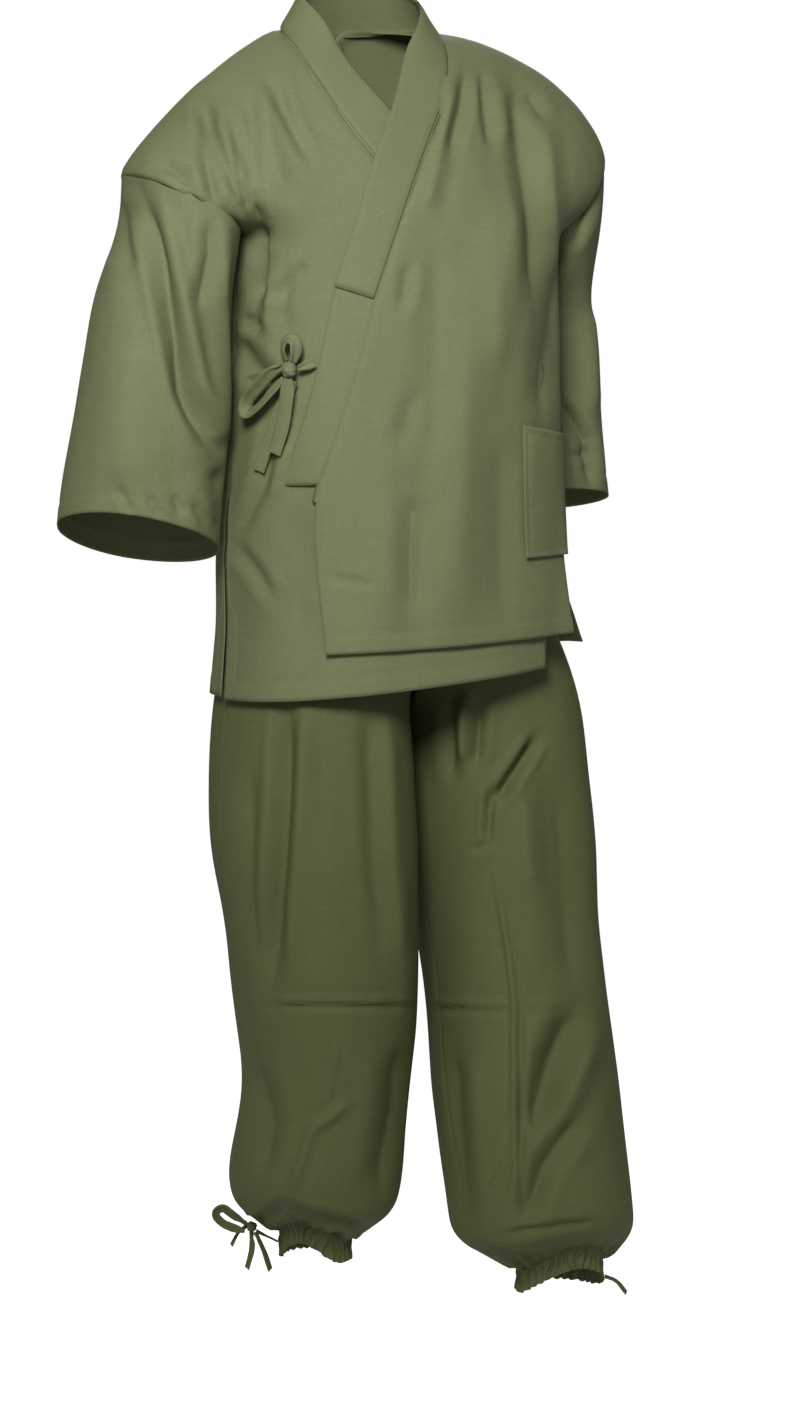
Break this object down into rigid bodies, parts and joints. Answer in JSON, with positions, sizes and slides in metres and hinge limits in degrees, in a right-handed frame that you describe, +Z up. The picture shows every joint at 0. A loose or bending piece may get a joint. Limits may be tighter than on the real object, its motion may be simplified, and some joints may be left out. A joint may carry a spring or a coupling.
{
  "type": "japanese work jacket and trousers",
  "caption": "Worn cotton samue: wrapped jacket with a band collar, wide sleeves and side ties, over loose trousers gathered at the ankles.",
  "frame": {"origin": "centre of the neck base, between the shoulders that carry the jacket, 1.42 m above the ground the wearer stands on", "axes": "+Z up, -Y the way the wearer faces, +X the wearer's left"},
  "size_m": [0.6835, 0.3482, 1.4478],
  "materials": {
    "jacket_cotton": "plain woven cotton, matt",
    "trouser_cotton": "plain woven cotton, matt"
  },
  "bodies": {
    "root": {"jacket_body_left": "jacket_cotton", "jacket_body_right": "jacket_cotton", "jacket_sleeve_left": "jacket_cotton", "jacket_sleeve_right": "jacket_cotton", "jacket_collar": "jacket_cotton", "jacket_collar_cover": "jacket_cotton", "jacket_pocket": "jacket_cotton", "jacket_tie_loop_side": "jacket_cotton", "jacket_tie_loop_upper": "jacket_cotton", "jacket_tie_tail_wide": "jacket_cotton", "jacket_tie_tail_narrow": "jacket_cotton", "jacket_tie_strap_collar": "jacket_cotton", "jacket_tie_strap_side": "jacket_cotton", "jacket_tie_knot": "jacket_cotton", "trousers_front_right": "trouser_cotton", "trousers_back_right": "trouser_cotton", "trousers_front_left": "trouser_cotton", "trousers_back_left": "trouser_cotton", "trousers_waistband": "trouser_cotton", "trousers_hem_right": "trouser_cotton", "trousers_hem_left": "trouser_cotton", "trousers_tie_right_strap": "trouser_cotton", "trousers_tie_right_loop": "trouser_cotton", "trousers_tie_right_tail_wide": "trouser_cotton", "trousers_tie_right_tail_narrow": "trouser_cotton", "trousers_tie_right_tail_back": "trouser_cotton", "trousers_tie_left_strap": "trouser_cotton", "trousers_tie_right_knot": "trouser_cotton"}
  },
  "joints": []
}
